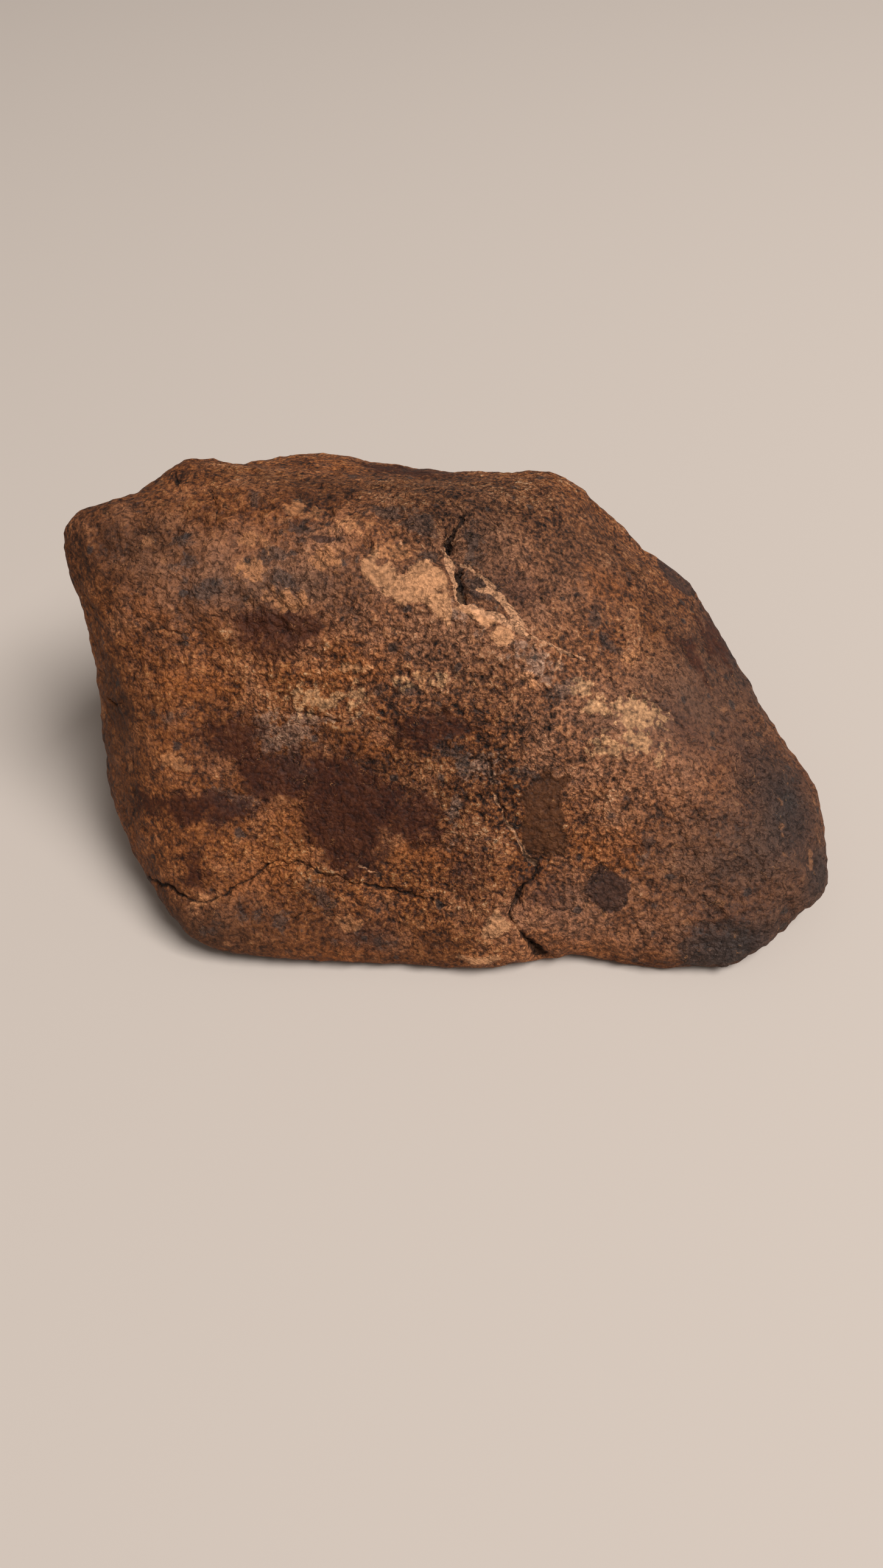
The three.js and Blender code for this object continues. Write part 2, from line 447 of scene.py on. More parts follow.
def line_finder(skin, lines, crook):
    """A search tree of the points along all the lines, and the half width at each."""
    traced = [trace(skin, route, crook) for route in lines.values()]
    points = [point for along, _ in traced for point in along]
    finder = KDTree(len(points))
    for i, point in enumerate(points):
        finder.insert(point, i)
    finder.balance()
    return finder, [width for _, widths in traced for width in widths]


def line_gap(places, finder, widths):
    """Each place's gap to the nearest line, and that line's half width there."""
    found = [finder.find(place * MM) for place in places]
    gap = np.array([length / MM for _, _, length in found])
    return np.minimum(gap, FAR), np.array([widths[i] for _, i, _ in found])


def reach(places, skin, patch):
    """How far out of a patch's centre each place lies: 1 is the patch's edge."""
    azimuth, elevation, half_length, half_width, turn = patch
    centre, normal = on_skin(skin, heading(azimuth, elevation))
    level = Vector((0, 0, 1)).cross(normal).normalized()
    lean = math.radians(turn)
    along = level * math.cos(lean) + normal.cross(level) * math.sin(lean)
    offset = places - np.array(centre) / MM
    return np.sqrt(
        (offset @ along / half_length) ** 2
        + (offset @ normal.cross(along) / half_width) ** 2
        + (offset @ normal / max(half_length, half_width)) ** 2
    )


def patch_field(places, skin, patches):
    """How far inside the nearest patch each place lies, negative outside them all."""
    field = np.full(len(places), -FAR)
    for patch in patches.values():
        middle_size = math.sqrt(patch[2] * patch[3])
        field = np.maximum(field, (1 - reach(places, skin, patch)) * middle_size)
    return field


def zone_field(places, skin, zones):
    """A soft share that is 1 at each zone's centre."""
    shares = [np.exp(-ZONE_FADE * reach(places, skin, zone) ** 2) for zone in zones.values()]
    return np.max(shares, axis=0)


# The stone's mesh


def fine_skin(node):
    """The solid's mesh, merged, split fine and rounded, and finest by the cracks."""
    shape = bmesh.new()
    shape.from_mesh(node.data)
    bmesh.ops.remove_doubles(shape, verts=shape.verts, dist=MERGE_GAP * MM)
    for _ in range(SMOOTH_ROUNDS):
        bmesh.ops.subdivide_edges(shape, edges=shape.edges, cuts=1, use_grid_fill=True)
        bmesh.ops.smooth_vert(
            shape, verts=shape.verts, factor=LOOP_FACTOR,
            use_axis_x=True, use_axis_y=True, use_axis_z=True,
        )
    skin = BVHTree.FromBMesh(shape)
    finder, widths = line_finder(skin, CRACKS, CRACK_CROOK)
    for band in CRACK_BANDS:
        near = {v for v in shape.verts if finder.find(v.co)[2] < band * MM}
        edges = [e for e in shape.edges if e.verts[0] in near and e.verts[1] in near]
        bmesh.ops.subdivide_edges(shape, edges=edges, cuts=1)
        bmesh.ops.triangulate(shape, faces=[f for f in shape.faces if len(f.verts) > 3])
    shape.normal_update()
    return shape, skin, finder, widths


def marked_skin(node, sizes):
    """The fine skin with its cracks cut, its flakes raised and every marking's field."""
    shape, skin, finder, widths = fine_skin(node)
    places = np.array([v.co for v in shape.verts]) / MM
    normals = np.array([v.normal for v in shape.verts])
    gap, wide = line_gap(places, finder, widths)
    vein_gap, vein_wide = line_gap(places, *line_finder(skin, VEINS, VEIN_CROOK))
    noise.seed_set(BEND_SEED)
    strays = [noise.noise_vector(Vector(place) / BEND_LENGTH) for place in places]
    bent = places + PATCH_BEND * np.array(strays)
    fields = {name: patch_field(bent, skin, patches) for name, patches in PATCHES.items()}
    fields.update((name, zone_field(places, skin, zones)) for name, zones in ZONES.items())
    fields["crack"] = wide - gap
    fields["vein"] = vein_wide - vein_gap
    films = np.maximum.reduce([fields[name] for name in CALM_FILMS])
    fields["calm"] = np.clip(films, 0, 1)

    depth = np.minimum(DEEPEST, sizes.crack_steepness * wide)
    cut = depth * np.exp(-(gap / (wide + CRACK_SKIRT)) ** 2)
    proud = np.clip(np.maximum(fields["peach"], fields["vein"]) / RISE_EDGE, 0, 1)
    places += normals * (proud * sizes.flake_height / MM - cut)[:, None]
    places[:, 2] = np.maximum(places[:, 2], 0)
    for vert, place in zip(shape.verts, places):
        vert.co = place * MM

    mesh = bpy.data.meshes.new("stone skin")
    shape.to_mesh(mesh)
    shape.free()
    mesh.shade_smooth()
    for name, field in fields.items():
        values = mesh.attributes.new(name, "FLOAT", "POINT").data
        values.foreach_set("value", field.astype(np.float32))
    return mesh


def relief_tree():
    """Geometry nodes that raise swells, knobs and grain and sink pits all over a skin."""
    tree = bpy.data.node_groups.new("skin relief", "GeometryNodeTree")
    tree.interface.new_socket("Skin", in_out="INPUT", socket_type="NodeSocketGeometry")
    for layer in (*LAYERS, "Pit"):
        for size in ("length", "height"):
            name = f"{layer} {size}"
            tree.interface.new_socket(name, in_out="INPUT", socket_type="NodeSocketFloat")
    tree.interface.new_socket("Crust", in_out="INPUT", socket_type="NodeSocketMaterial")
    tree.interface.new_socket("Skin", in_out="OUTPUT", socket_type="NodeSocketGeometry")
    given = add(tree, "NodeGroupInput").node.outputs
    place = add(tree, "GeometryNodeInputPosition")
    normal = add(tree, "GeometryNodeInputNormal")
    knobbly, calm = (
        add(tree, "GeometryNodeInputNamedAttribute", {0: name}, data_type="FLOAT")
        for name in ("knobbly", "calm")
    )

    total = 0.0
    for layer, (detail, even, on_knobbly, on_calm) in LAYERS.items():
        scale = add(tree, "ShaderNodeMath", {0: 1.0, 1: given[layer + " length"]}, operation="DIVIDE")
        wave = add(
            tree, "ShaderNodeTexNoise",
            {"Vector": place, "Scale": scale, "Detail": detail, "Roughness": LAYER_ROUGHNESS},
        )
        share = add(tree, "ShaderNodeMath", {
            0: knobbly, 1: on_knobbly, 2: even,
        }, operation="MULTIPLY_ADD")
        share = add(tree, "ShaderNodeMath", {0: calm, 1: on_calm, 2: share}, operation="MULTIPLY_ADD")
        height = add(tree, "ShaderNodeMath", {
            0: given[layer + " height"], 1: share,
        }, operation="MULTIPLY")
        level = add(tree, "ShaderNodeMath", {0: wave, 1: 2.0, 2: -1.0}, operation="MULTIPLY_ADD")
        total = add(tree, "ShaderNodeMath", {0: level, 1: height, 2: total}, operation="MULTIPLY_ADD")

    scale = add(tree, "ShaderNodeMath", {0: 1.0, 1: given["Pit length"]}, operation="DIVIDE")
    cell = add(tree, "ShaderNodeTexVoronoi", {"Vector": place, "Scale": scale})
    open_share = add(tree, "ShaderNodeMapRange", {
        "Value": cell, "From Min": OPEN_PIT[0], "From Max": OPEN_PIT[1], "To Min": 1.0, "To Max": 0.0,
    }, interpolation_type="SMOOTHSTEP")
    chance = add(tree, "FunctionNodeSeparateColor", {0: cell.node.outputs["Color"]})
    size = add(tree, "ShaderNodeMapRange", {
        "Value": chance, "From Min": PITLESS_SHARE, "From Max": 1.0,
    })
    pit = add(tree, "ShaderNodeMath", {0: open_share, 1: size}, operation="MULTIPLY")
    pit = add(tree, "ShaderNodeMath", {0: pit, 1: given["Pit height"]}, operation="MULTIPLY")
    total = add(tree, "ShaderNodeMath", {0: total, 1: pit}, operation="SUBTRACT")

    # The flat spot stays flat
    height = add(tree, "ShaderNodeSeparateXYZ", {0: place}, out="Z")
    lifted = add(tree, "ShaderNodeMapRange", {
        "Value": height, "From Min": LIFTED[0] * MM, "From Max": LIFTED[1] * MM,
    }, interpolation_type="SMOOTHSTEP")
    total = add(tree, "ShaderNodeMath", {0: total, 1: lifted}, operation="MULTIPLY")
    move = add(tree, "ShaderNodeVectorMath", {0: normal, "Scale": total}, operation="SCALE")
    moved = add(tree, "GeometryNodeSetPosition", {"Geometry": given["Skin"], "Offset": move})
    in_mm = add(tree, "ShaderNodeMath", {0: total, 1: 1 / MM}, operation="MULTIPLY")
    kept = add(tree, "GeometryNodeStoreNamedAttribute", {
        "Geometry": moved, "Name": "relief", "Value": in_mm,
    }, data_type="FLOAT", domain="POINT")
    real = add(tree, "GeometryNodeRealizeInstances", {0: kept})
    dressed = add(tree, "GeometryNodeSetMaterial", {0: real, "Material": given["Crust"]})
    add(tree, "NodeGroupOutput", {0: dressed}, out=None)
    return tree


def with_relief(mesh, sizes, crust):
    """The mesh with the relief tree's result applied."""
    rough = bpy.data.objects.new("rough stone", mesh)
    bpy.context.scene.collection.objects.link(rough)
    tree = relief_tree()
    modifier = rough.modifiers.new("relief", "NODES")
    modifier.node_group = tree
    values = {
        "Swell length": sizes.swell_length, "Swell height": sizes.swell_height,
        "Knob length": sizes.knob_length, "Knob height": sizes.knob_height,
        "Grain length": sizes.grain_length, "Grain height": sizes.grain_height,
        "Pit length": sizes.pit_spacing, "Pit height": sizes.pit_depth,
        "Crust": crust,
    }
    for item in tree.interface.items_tree:
        if item.in_out == "INPUT" and item.name in values:
            modifier[item.identifier] = values[item.name]
    bpy.context.view_layer.update()
    made = rough.evaluated_get(bpy.context.evaluated_depsgraph_get())
    result = bpy.data.meshes.new_from_object(made)
    rough.modifiers.clear()
    bpy.data.objects.remove(rough)
    return result


# The crust's finish

# Noise patterns: wave length in millimetres, detail, roughness, and how much each lightens
# or darkens the crust. Grit finer than 0.6 mm is drawn at that size, so that it shows.
WAVES = {
    "broad": (14.0, 2.0, 0.5, 0.5),
    "drift": (7.0, 3.0, 0.6, 0.0),
    "mottle": (3.4, 5.0, 0.62, 0.52),
    "crinkle": (1.8, 3.0, 0.6, 0.15),
    "grit": (0.6, 2.0, 0.55, 1.1),
    "edge": (2.6, 5.0, 0.7, 0.0),
    "bark": (2.1, 3.0, 0.55, 0.0),
}
SWIRLED = {"broad", "drift", "mottle"}  # the patterns that follow the swirls
SWIRL = (7.0, 5.0)           # length and reach of the swirls, in millimetres
JOSTLE = (1.5, 1.3)          # length and reach of the fine twists that make grains irregular
GRAIN_SIZES = {"grain": 1.2, "fine grain": 0.65}
GRAIN_SHIFT = -0.2           # added to the grain patterns, which run up from 0
NOISE_MIDDLE = 0.5           # the middle of a noise pattern's range

# Fine relief, in millimetres: how high each pattern rises
RISES = {"crinkle": 0.55, "grit": 0.32, "grain": -0.5, "fine grain": -0.38}
# Painted shade: fine relief darkens the creases between grains and lightens their tops
RISE_PAINTED_SHADE = 0.5              # how much a rise of 1 mm lightens the crust
BARK_RISE = 1.5              # the bark pattern's, on knobbly skin alone
BUMPY = (2.5, 0.9)           # how much the broad pattern scales fine relief, and its middle
CALM_FILL = 0.5              # share of the pits and fine relief that a film fills

# Pinholes and crumbs: both come from one pattern, holes where it is high and crumbs where
# it is low
PITTING = (0.9, 4.0, 0.7)    # wave length in millimetres, detail and roughness
ROSE_PITTING = 0.03          # how much higher it is in rosy zones
HOLE_RANGE = (0.56, 0.62)    # from no hole to a full one
CRUMB_RANGE = (0.44, 0.4)    # from no crumb to a full one
PIT_DEPTH = 0.2              # a full hole's, in millimetres
CRUMB_RISE = 0.1             # a full crumb's, in millimetres
# Painted shade in the pinholes
PIT_SHADE = 0.5              # how opaque the dark inside a full hole is

# Tone: 0 is the darkest crust and 1 the palest
MIDDLE_TONE = 0.5
CREST_HIGHLIGHT_TONE = 0.13             # how much paler the painted highlight along the crest makes the crust
# Painted shade from the mesh relief: low skin darker, raised skin paler
RELIEF_PAINTED_SHADE = 0.25           # how much paler 1 mm of raised skin is
CRUMB_TONE = 0.2             # how much paler crumbs are
TONE_STOPS = {"darkest": 0.05, "dark": 0.27, "brown": 0.48, "rusty": 0.68, "sandy": 0.86, "palest": 1.0}

CRUST_ROUGHNESS = (0.3, 0.7)  # how much grit adds to the crust's roughness, and its middle
CRUST_SPECULAR = 0.2
FLOOR_ROUGHNESS = 0.95

# Specks of other minerals: their spacing in millimetres, how few there are (0 to 1), the
# largest one's half width over the spacing, and how opaque they are
SPECKS = {
    "tan": (2.6, 0.6, 0.4, 0.32),
    "charcoal": (2.4, 0.55, 0.42, 0.8),
    "darkest": (1.3, 0.5, 0.4, 0.5),
}
SPECK_STRAY = 0.7            # how ragged they are
SPECK_LEAST = -0.2           # the smallest one's, likewise: below 0, so it doesn't show
SPECK_EDGE = 0.12            # how soft their edges are
SPECK_GRAIN = 1.2            # how much the grain shows in them

# Painted glints: fine pale threads along ridges of the crust
GLINT_THREADS = (1.6, 2.0, 0.4)     # wave length in millimetres, detail and distortion
GLINT_WIDTH = 0.006          # half their width, in the noise pattern's own range
GLINT_BREAKS = (0.02, 0.14)  # levels of the edge pattern over which they come in
GLINT_OPACITY = 0.5

# Painted shade inside the cracks: how it fades in and how opaque it is
CRACK_SHADE_EDGE = (-0.07, 0.1)  # from outside a crack's rim to inside, over which it darkens (mm)
CRACK_SHADE_OPACITY = 0.82

# Soft zones of colour: how strongly each colours the crust, how much more it does so where
# the drift pattern is high, and how much the grain shows in it
ZONE_TINTS = {
    # The umber tint is partly the crust's own darker brown and partly painted shade on the left edge,
    # the top and hollows
    "umber_and_painted_shade": (0.55, -1.2, 1.4),
    "rose": (0.6, 1.4, 1.7),
    "ash": (0.6, 0.0, 1.6),
    "taupe": (0.8, 0.6, 1.3),
    "wine": (0.5, 0.0, 1.3),
    "slate": (0.95, 0.0, 1.1),
}
SMOOTH_TEXTURE = -0.42       # how much less the texture shows on smooth skin
GRAINY_TEXTURE = 0.55        # how much more it shows on grainy skin

# Marking layers, lowest first: how far its edge strays (mm), how soft the edge is (mm), how
# opaque it is, how much the grain shows in it, its roughness, and how far it breaks into
# crumbs at its edge (mm)
STAINS = {
    "rust": (12.0, 2.0, 0.36, 1.6, 0.74, 2.0),
    "bloom": (16.0, 1.0, 0.42, 2.2, 0.7, 3.0),
    "chocolate": (16.0, 1.7, 0.88, 1.4, 0.7, 0.0),
    "olive": (4.0, 0.25, 0.94, 0.7, 0.68, 0.0),
    "plum": (3.5, 0.3, 0.9, 1.7, 0.66, 0.4),
    "charcoal": (12.0, 0.8, 0.68, 1.8, 0.6, 1.5),
    "cream": (12.0, 0.6, 0.66, 2.2, 0.8, 4.5),
    "tan": (6.0, 0.5, 0.64, 1.6, 0.78, 2.0),
    "peach": (3.5, 0.3, 0.92, 1.3, 0.78, 0.8),
    "vein": (1.2, 0.1, 0.95, 1.0, 0.78, 0.0),
}


def crust_material(colours):
    """Iron-stained crust of a stony meteorite, roughened by weathering: dark, matt and
    crinkled, with smoother dark films and dusty pale flakes."""
    crust = bpy.data.materials.new("weathered chondrite crust")
    crust.use_nodes = True
    tree = crust.node_tree
    tree.nodes.clear()
    tint = {name: (*getattr(colours, name), 1.0) for name in StoneColours.__annotations__}
    field = {
        name: add(tree, "ShaderNodeAttribute", out="Fac", attribute_name=name)
        for name in (*STAINS, *ZONES, "crack", "calm", "relief")
    }

    # Patterns, in millimetres
    metres = add(tree, "ShaderNodeTexCoord", out="Object")
    place = add(tree, "ShaderNodeVectorMath", {0: metres, "Scale": 1 / MM}, operation="SCALE")
    twisted = {}
    for name, (wave_length, strength) in {"swirl": SWIRL, "jostle": JOSTLE}.items():
        twist = add(
            tree, "ShaderNodeTexNoise", {"Vector": place, "Scale": 1 / wave_length}, out="Color",
        )
        twisted[name] = add(tree, "ShaderNodeVectorMath", {
            0: twist, 1: (strength,) * 3, 2: place,
        }, operation="MULTIPLY_ADD")
    pattern = {}
    for name, (wave_length, detail, rough, _) in WAVES.items():
        wave = add(tree, "ShaderNodeTexNoise", {
            "Vector": twisted["swirl"] if name in SWIRLED else place,
            "Scale": 1 / wave_length, "Detail": detail, "Roughness": rough,
        })
        pattern[name] = add(tree, "ShaderNodeMath", {0: wave, 1: NOISE_MIDDLE}, operation="SUBTRACT")
    for name, size in GRAIN_SIZES.items():
        cell = add(tree, "ShaderNodeTexVoronoi", {
            "Vector": twisted["jostle"], "Scale": 1 / size,
        }, out="Distance")
        pattern[name] = add(tree, "ShaderNodeMath", {
            0: cell, 1: cell, 2: GRAIN_SHIFT,
        }, operation="MULTIPLY_ADD")

    # Fine relief, and the pits in it
    rise = 0.0
    for name, height in RISES.items():
        rise = add(tree, "ShaderNodeMath", {
            0: pattern[name], 1: height, 2: rise,
        }, operation="MULTIPLY_ADD")
    wave_length, detail, rough = PITTING
    holes = add(tree, "ShaderNodeTexNoise", {
        "Vector": twisted["jostle"], "Scale": 1 / wave_length, "Detail": detail, "Roughness": rough,
    })
    holes = add(tree, "ShaderNodeMath", {
        0: field["rose"], 1: ROSE_PITTING, 2: holes,
    }, operation="MULTIPLY_ADD")
    pit = add(tree, "ShaderNodeMapRange", {
        "Value": holes, "From Min": HOLE_RANGE[0], "From Max": HOLE_RANGE[1],
    })
    crumb = add(tree, "ShaderNodeMapRange", {
        "Value": holes, "From Min": CRUMB_RANGE[0], "From Max": CRUMB_RANGE[1],
    })

    # Tone
    # The painted highlight along the crest lightens the tone
    tone = add(tree, "ShaderNodeMath", {
        0: field["crest_highlight"], 1: CREST_HIGHLIGHT_TONE, 2: MIDDLE_TONE,
    }, operation="MULTIPLY_ADD")
    for name, (_, _, _, weight) in WAVES.items():
        tone = add(tree, "ShaderNodeMath", {
            0: pattern[name], 1: weight, 2: tone,
        }, operation="MULTIPLY_ADD")
    # Painted shade from the fine relief: creases darker, tops paler
    tone = add(tree, "ShaderNodeMath", {0: rise, 1: RISE_PAINTED_SHADE, 2: tone}, operation="MULTIPLY_ADD")
    # Painted shade from the mesh relief: low skin darker, raised skin paler
    tone = add(tree, "ShaderNodeMath", {
        0: field["relief"], 1: RELIEF_PAINTED_SHADE, 2: tone,
    }, operation="MULTIPLY_ADD")
    tone = add(tree, "ShaderNodeMath", {0: crumb, 1: CRUMB_TONE, 2: tone}, operation="MULTIPLY_ADD")
    texture = add(tree, "ShaderNodeMath", {
        0: field["smooth"], 1: SMOOTH_TEXTURE, 2: 1.0,
    }, operation="MULTIPLY_ADD")
    texture = add(tree, "ShaderNodeMath", {
        0: field["grainy"], 1: GRAINY_TEXTURE, 2: texture,
    }, operation="MULTIPLY_ADD")
    uneven = add(tree, "ShaderNodeMath", {0: tone, 1: MIDDLE_TONE}, operation="SUBTRACT")
    uneven = add(tree, "ShaderNodeMath", {0: uneven, 1: texture}, operation="MULTIPLY")
    tone = add(tree, "ShaderNodeMath", {0: uneven, 1: MIDDLE_TONE})
    colour = add(tree, "ShaderNodeValToRGB", {0: tone})
    ramp = colour.node.color_ramp.elements
    while len(ramp) < len(TONE_STOPS):
        ramp.new(0.5)
    for stop, (name, position) in zip(ramp, TONE_STOPS.items()):
        stop.position = position
        stop.color = tint[name]

    # Softly coloured zones
    for name, (strength, drifting, grain) in ZONE_TINTS.items():
        share = add(tree, "ShaderNodeMath", {0: field[name], 1: strength}, operation="MULTIPLY")
        share = add(tree, "ShaderNodeMath", {
            0: pattern["drift"], 1: drifting, 2: share,
        }, operation="MULTIPLY_ADD")
        shade = add(tree, "ShaderNodeMath", {0: uneven, 1: grain, 2: 1.0}, operation="MULTIPLY_ADD")
        top = add(tree, "ShaderNodeVectorMath", {0: tint[name][:3], "Scale": shade}, operation="SCALE")
        colour = add(tree, "ShaderNodeMix", {0: share, 6: colour, 7: top}, out=2, data_type="RGBA")
    rough = add(tree, "ShaderNodeMath", {
        0: pattern["grit"], 1: CRUST_ROUGHNESS[0], 2: CRUST_ROUGHNESS[1],
    }, operation="MULTIPLY_ADD")

    # Specks of other minerals
    for name, (spacing, rarity, largest, opaque) in SPECKS.items():
        cell = add(tree, "ShaderNodeTexVoronoi", {
            "Vector": twisted["jostle"], "Scale": 1 / spacing,
        }, out="Distance")
        chance = add(tree, "ShaderNodeSeparateColor", {0: cell.node.outputs["Color"]})
        size = add(tree, "ShaderNodeMapRange", {
            "Value": chance, "From Min": rarity, "From Max": 1.0,
            "To Min": SPECK_LEAST, "To Max": largest,
        })
        inside = add(tree, "ShaderNodeMath", {0: size, 1: cell}, operation="SUBTRACT")
        inside = add(tree, "ShaderNodeMath", {
            0: pattern["edge"], 1: SPECK_STRAY, 2: inside,
        }, operation="MULTIPLY_ADD")
        share = add(tree, "ShaderNodeMapRange", {
            "Value": inside, "From Max": SPECK_EDGE, "To Max": opaque,
        })
        shade = add(tree, "ShaderNodeMath", {
            0: uneven, 1: SPECK_GRAIN, 2: 1.0,
        }, operation="MULTIPLY_ADD")
        top = add(tree, "ShaderNodeVectorMath", {0: tint[name][:3], "Scale": shade}, operation="SCALE")
        colour = add(tree, "ShaderNodeMix", {0: share, 6: colour, 7: top}, out=2, data_type="RGBA")

    # Stains, films and flakes, each with a ragged edge
    for name, (stray, soft, opaque, grain, stain_rough, crumbly) in STAINS.items():
        inside = add(tree, "ShaderNodeMath", {
            0: pattern["edge"], 1: stray, 2: field[name],
        }, operation="MULTIPLY_ADD")
        inside = add(tree, "ShaderNodeMath", {
            0: pattern["grit"], 1: soft, 2: inside,
        }, operation="MULTIPLY_ADD")
        inside = add(tree, "ShaderNodeMath", {
            0: pattern["grain"], 1: -crumbly, 2: inside,
        }, operation="MULTIPLY_ADD")
        share = add(tree, "ShaderNodeMapRange", {
            "Value": inside, "From Min": -soft, "From Max": soft, "To Max": opaque,
        }, interpolation_type="SMOOTHSTEP")
        shade = add(tree, "ShaderNodeMath", {0: uneven, 1: grain, 2: 1.0}, operation="MULTIPLY_ADD")
        top = add(tree, "ShaderNodeVectorMath", {0: tint[name][:3], "Scale": shade}, operation="SCALE")
        colour = add(tree, "ShaderNodeMix", {0: share, 6: colour, 7: top}, out=2, data_type="RGBA")
        rough = add(tree, "ShaderNodeMix", {0: share, 2: rough, 3: stain_rough})

    # Holes get painted shade inside, and films fill them in part
    uncalm = add(tree, "ShaderNodeMath", {
        0: field["calm"], 1: -CALM_FILL, 2: 1.0,
    }, operation="MULTIPLY_ADD")
    pit = add(tree, "ShaderNodeMath", {0: pit, 1: uncalm}, operation="MULTIPLY")
    share = add(tree, "ShaderNodeMath", {0: pit, 1: PIT_SHADE}, operation="MULTIPLY")
    colour = add(tree, "ShaderNodeMix", {
        0: share, 6: colour, 7: tint["darkest"],
    }, out=2, data_type="RGBA")

    # Painted glints: pale threads along ridges of the crust
    wave_length, detail, distortion = GLINT_THREADS
    glint_wave = add(tree, "ShaderNodeTexNoise", {
        "Vector": place, "Scale": 1 / wave_length, "Detail": detail, "Distortion": distortion,
    })
    on_glint = add(tree, "ShaderNodeMath", {
        0: glint_wave, 1: NOISE_MIDDLE, 2: GLINT_WIDTH,
    }, operation="COMPARE")
    glint_broken = add(tree, "ShaderNodeMapRange", {
        "Value": pattern["edge"], "From Min": GLINT_BREAKS[0], "From Max": GLINT_BREAKS[1],
        "To Max": GLINT_OPACITY,
    })
    share = add(tree, "ShaderNodeMath", {0: on_glint, 1: glint_broken}, operation="MULTIPLY")
    colour = add(tree, "ShaderNodeMix", {
        0: share, 6: colour, 7: tint["sandy"],
    }, out=2, data_type="RGBA")

    # Painted shade in the cracks' depths
    crack_shade = add(tree, "ShaderNodeMapRange", {
        "Value": field["crack"], "From Min": CRACK_SHADE_EDGE[0], "From Max": CRACK_SHADE_EDGE[1],
        "To Max": CRACK_SHADE_OPACITY,
    }, interpolation_type="SMOOTHSTEP")
    colour = add(tree, "ShaderNodeMix", {
        0: crack_shade, 6: colour, 7: tint["crevice"],
    }, out=2, data_type="RGBA")

    height = add(tree, "ShaderNodeMath", {0: pit, 1: -PIT_DEPTH, 2: rise}, operation="MULTIPLY_ADD")
    height = add(tree, "ShaderNodeMath", {0: crumb, 1: CRUMB_RISE, 2: height}, operation="MULTIPLY_ADD")
    bumpy = add(tree, "ShaderNodeMath", {
        0: pattern["broad"], 1: BUMPY[0], 2: BUMPY[1],
    }, operation="MULTIPLY_ADD")
    bumpy = add(tree, "ShaderNodeMath", {0: uncalm, 1: bumpy}, operation="MULTIPLY")
    bumpy = add(tree, "ShaderNodeMath", {0: texture, 1: bumpy}, operation="MULTIPLY")
    height = add(tree, "ShaderNodeMath", {0: height, 1: bumpy}, operation="MULTIPLY")
    bark = add(tree, "ShaderNodeMath", {0: pattern["bark"], 1: BARK_RISE}, operation="MULTIPLY")
    height = add(tree, "ShaderNodeMath", {
        0: bark, 1: field["knobbly"], 2: height,
    }, operation="MULTIPLY_ADD")
    bump = add(tree, "ShaderNodeBump", {"Strength": 1.0, "Distance": MM, "Height": height})
    shader = add(tree, "ShaderNodeBsdfPrincipled", {
        "Base Color": colour, "Roughness": rough, "Specular IOR Level": CRUST_SPECULAR, "Normal": bump,
    })
    add(tree, "ShaderNodeOutputMaterial", {0: shader}, out=None)
    return crust


def floor_material(colour):
    """Matt paper: pale, even and without gloss."""
    paper = bpy.data.materials.new("matt paper")
    paper.use_nodes = True
    tree = paper.node_tree
    tree.nodes.clear()
    shader = add(tree, "ShaderNodeBsdfPrincipled", {
        "Base Color": (*colour, 1.0), "Roughness": FLOOR_ROUGHNESS,
    })
    add(tree, "ShaderNodeOutputMaterial", {0: shader}, out=None)
    return paper


# What a user can change


def length(name, description, millimetres):
    return bpy.props.FloatProperty(
        name=name, description=description, default=millimetres * MM, unit="LENGTH", precision=5,
    )


def colour(name, description, hex_colour):
    return bpy.props.FloatVectorProperty(
        name=name, description=description, default=linear(hex_colour), subtype="COLOR", min=0, max=1,
    )


class StoneSizes(bpy.types.PropertyGroup):
    """The sizes of the stone's relief."""

    swell_length: length("Swell length", "From one broad swell to the next", 6.5)
    swell_height: length("Swell height", "How far swells rise and sink", 0.8)
    knob_length: length("Knob length", "From one knob to the next", 2.4)
    knob_height: length("Knob height", "How far knobs rise and sink", 0.55)
    grain_length: length("Grain length", "From one grain to the next", 1.1)
    grain_height: length("Grain height", "How far grains rise and sink", 0.2)
    pit_spacing: length("Pit spacing", "From one small pit to the next", 2.6)
    pit_depth: length("Pit depth", "Depth of the deepest small pits", 0.3)
    flake_height: length("Flake height", "How far pale flakes and veins stand proud", 0.14)
    crack_steepness: bpy.props.FloatProperty(
        name="Crack steepness", description="A crack's depth over its half width", default=2.4, min=0,
    )


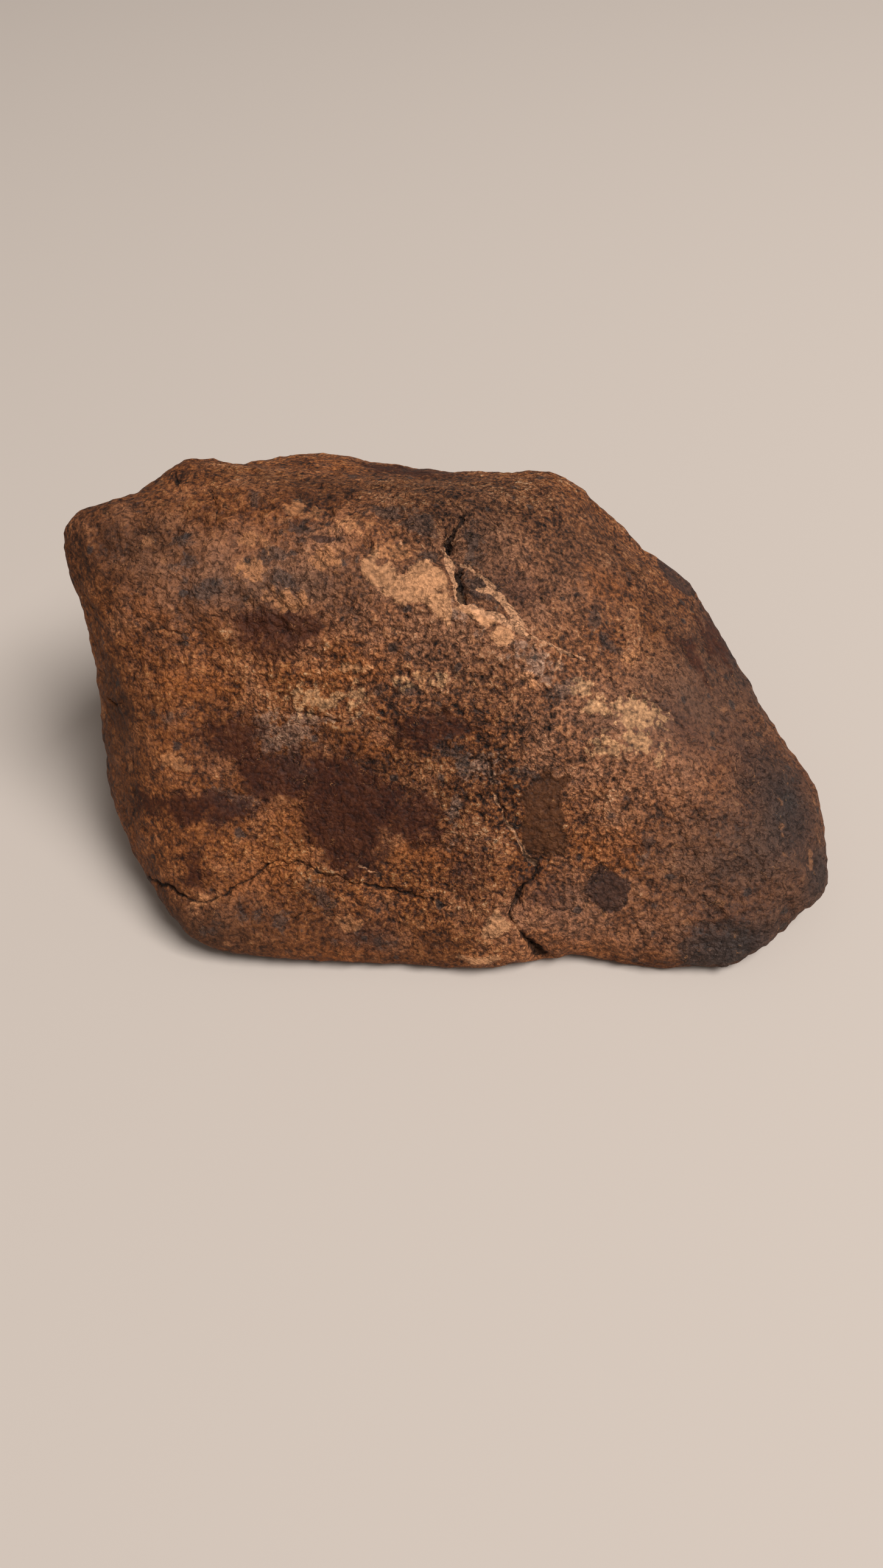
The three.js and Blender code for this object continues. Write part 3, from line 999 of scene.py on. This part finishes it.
class StoneColours(bpy.types.PropertyGroup):
    """The colours of the stone's crust."""

    darkest: colour("Darkest crust", "Pits and the darkest mottling", "1e120c")
    dark: colour("Dark crust", "Dark mottling", "4b2713")
    brown: colour("Brown crust", "The middle of the crust's range", "7c4520")
    rusty: colour("Rusty crust", "Iron-stained crust", "9f5f30")
    sandy: colour("Sandy crust", "Pale mottling", "b07848")
    palest: colour("Palest crust", "The palest grains", "caa078")
    ash: colour("Ash", "Greyer brown on top", "4f3323")
    # Umber is partly the crust's own darker brown and partly painted shade on the left edge, along the
    # top and in hollows
    umber_and_painted_shade: colour("Umber", "Darker brown in hollows and on top", "3c2214")
    rose: colour("Rose", "Duller brown on the crest and right", "98694e")
    taupe: colour("Taupe", "Greyish brown where the crust is smooth", "593f31")
    wine: colour("Wine", "Purple-brown tints", "452a22")
    slate: colour("Slate", "Purple-grey brown at the right end", "352a26")
    rust: colour("Rust", "Orange glows", "8c4d20")
    bloom: colour("Bloom", "Grey film", "786559")
    chocolate: colour("Chocolate film", "Smooth dark stains", "341306")
    olive: colour("Olive film", "The flat patch", "4a2913")
    plum: colour("Plum stain", "Purple-brown spots", "38241d")
    charcoal: colour("Charcoal", "Blue-grey blots", "372d29")
    cream: colour("Cream crumbs", "Pale yellow crumbs", "a87d57")
    tan: colour("Tan flakes", "Pale brown flakes", "a87048")
    peach: colour("Peach flakes", "Pale peach flakes", "aa7853")
    vein: colour("Vein", "The pale vein", "bd8964")
    # Painted shade deep in the cracks
    crevice: colour("Crevice", "The depths of the cracks", "100906")


class StageSettings(bpy.types.PropertyGroup):
    """The floor, the light and the camera."""

    floor_size: bpy.props.FloatProperty(
        name="Floor size", description="Width of the square floor", default=6.0, unit="LENGTH",
    )
    floor_colour: colour("Floor colour", "Colour of the pale floor", "b8aca2")
    sky_colour: colour("Sky colour", "Colour of the soft light all round", "d8d2cc")
    sky_strength: bpy.props.FloatProperty(
        name="Sky strength", description="Strength of the light all round", default=0.36, min=0,
    )
    window_power: bpy.props.FloatProperty(
        name="Window power", description="Power of the broad light above", default=42.0, unit="POWER",
    )
    window_size: bpy.props.FloatProperty(
        name="Window size", description="Width of the broad light above", default=0.9, unit="LENGTH",
    )


CAMERA_PLACE = (-0.00296, -0.13003, 0.157)
CAMERA_PITCH = 50.5          # degrees below the level
CAMERA_LENS = 25.16          # for a 36 mm sensor along the picture's long side
CAMERA_NEAR = 0.005          # nothing nearer to the camera shows, in metres
WINDOW_PLACE = (0.75, -0.4, 1.55)


class MeteoriteStage(bpy.types.Operator):
    """Makes the pale floor, the soft light and the camera"""

    bl_idname = "meteorite.stage"
    bl_label = "Stage"

    def execute(self, context):
        scene = context.scene
        settings = scene.meteorite_stage
        half = settings.floor_size / 2
        corners = [(-half, -half, 0), (half, -half, 0), (half, half, 0), (-half, half, 0)]
        mesh = bpy.data.meshes.new("floor")
        mesh.from_pydata(corners, [], [(0, 1, 2, 3)])
        mesh.materials.append(floor_material(settings.floor_colour))
        floor = bpy.data.objects.new("floor", mesh)
        scene.collection.objects.link(floor)

        sky = bpy.data.worlds.new("soft sky")
        sky.use_nodes = True
        light = sky.node_tree.nodes["Background"].inputs
        light["Color"].default_value = (*settings.sky_colour, 1.0)
        light["Strength"].default_value = settings.sky_strength
        scene.world = sky
        scene.view_settings.view_transform = "Standard"

        pane = bpy.data.lights.new("window", "AREA")
        pane.energy = settings.window_power
        pane.size = settings.window_size
        window = bpy.data.objects.new("window", pane)
        window.location = WINDOW_PLACE
        window.rotation_euler = Vector(WINDOW_PLACE).to_track_quat("Z", "Y").to_euler()
        scene.collection.objects.link(window)

        lens = bpy.data.cameras.new("camera")
        lens.lens = CAMERA_LENS
        lens.clip_start = CAMERA_NEAR
        camera = bpy.data.objects.new("camera", lens)
        camera.location = CAMERA_PLACE
        camera.rotation_euler = (math.radians(90 - CAMERA_PITCH), 0, 0)
        scene.collection.objects.link(camera)
        scene.camera = camera
        return {"FINISHED"}


class MeteoriteStone(bpy.types.Operator):
    """Makes the stone with its relief, cracks and crust"""

    bl_idname = "meteorite.stone"
    bl_label = "Stone"

    def execute(self, context):
        scene = context.scene
        sizes = scene.meteorite_sizes
        crust = crust_material(scene.meteorite_colours)
        marked = marked_skin(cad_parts["meteorite"], sizes)
        mesh = with_relief(marked, sizes, crust)
        mesh.name = "weathered stone"
        stone = bpy.data.objects.new("weathered_stone", mesh)
        scene.collection.objects.link(stone)
        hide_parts("meteorite")
        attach(stone, "root")
        return {"FINISHED"}


class MeteoritePanel(bpy.types.Panel):
    """Lists what makes the meteorite"""

    bl_idname = "VIEW3D_PT_meteorite"
    bl_label = "Weathered meteorite"
    bl_space_type = "VIEW_3D"
    bl_region_type = "UI"
    bl_category = "Meteorite"

    def draw(self, context):
        for operator in OPERATORS:
            self.layout.operator(operator.bl_idname)
        for name in SETTINGS:
            group = getattr(context.scene, name)
            box = self.layout.box()
            for setting in group.bl_rna.properties:
                if setting.identifier not in ("rna_type", "name"):
                    box.prop(group, setting.identifier)


OPERATORS = (MeteoriteStage, MeteoriteStone)
SETTINGS = {
    "meteorite_sizes": StoneSizes,
    "meteorite_colours": StoneColours,
    "meteorite_stage": StageSettings,
}


def register():
    for kind in (*SETTINGS.values(), *OPERATORS, MeteoritePanel):
        bpy.utils.register_class(kind)
    for name, kind in SETTINGS.items():
        setattr(bpy.types.Scene, name, bpy.props.PointerProperty(type=kind))


def unregister():
    for name in SETTINGS:
        delattr(bpy.types.Scene, name)
    for kind in reversed((*SETTINGS.values(), *OPERATORS, MeteoritePanel)):
        bpy.utils.unregister_class(kind)


def main():
    register()
    bpy.ops.meteorite.stage()
    bpy.ops.meteorite.stone()


if __name__ == "__main__":
    main()
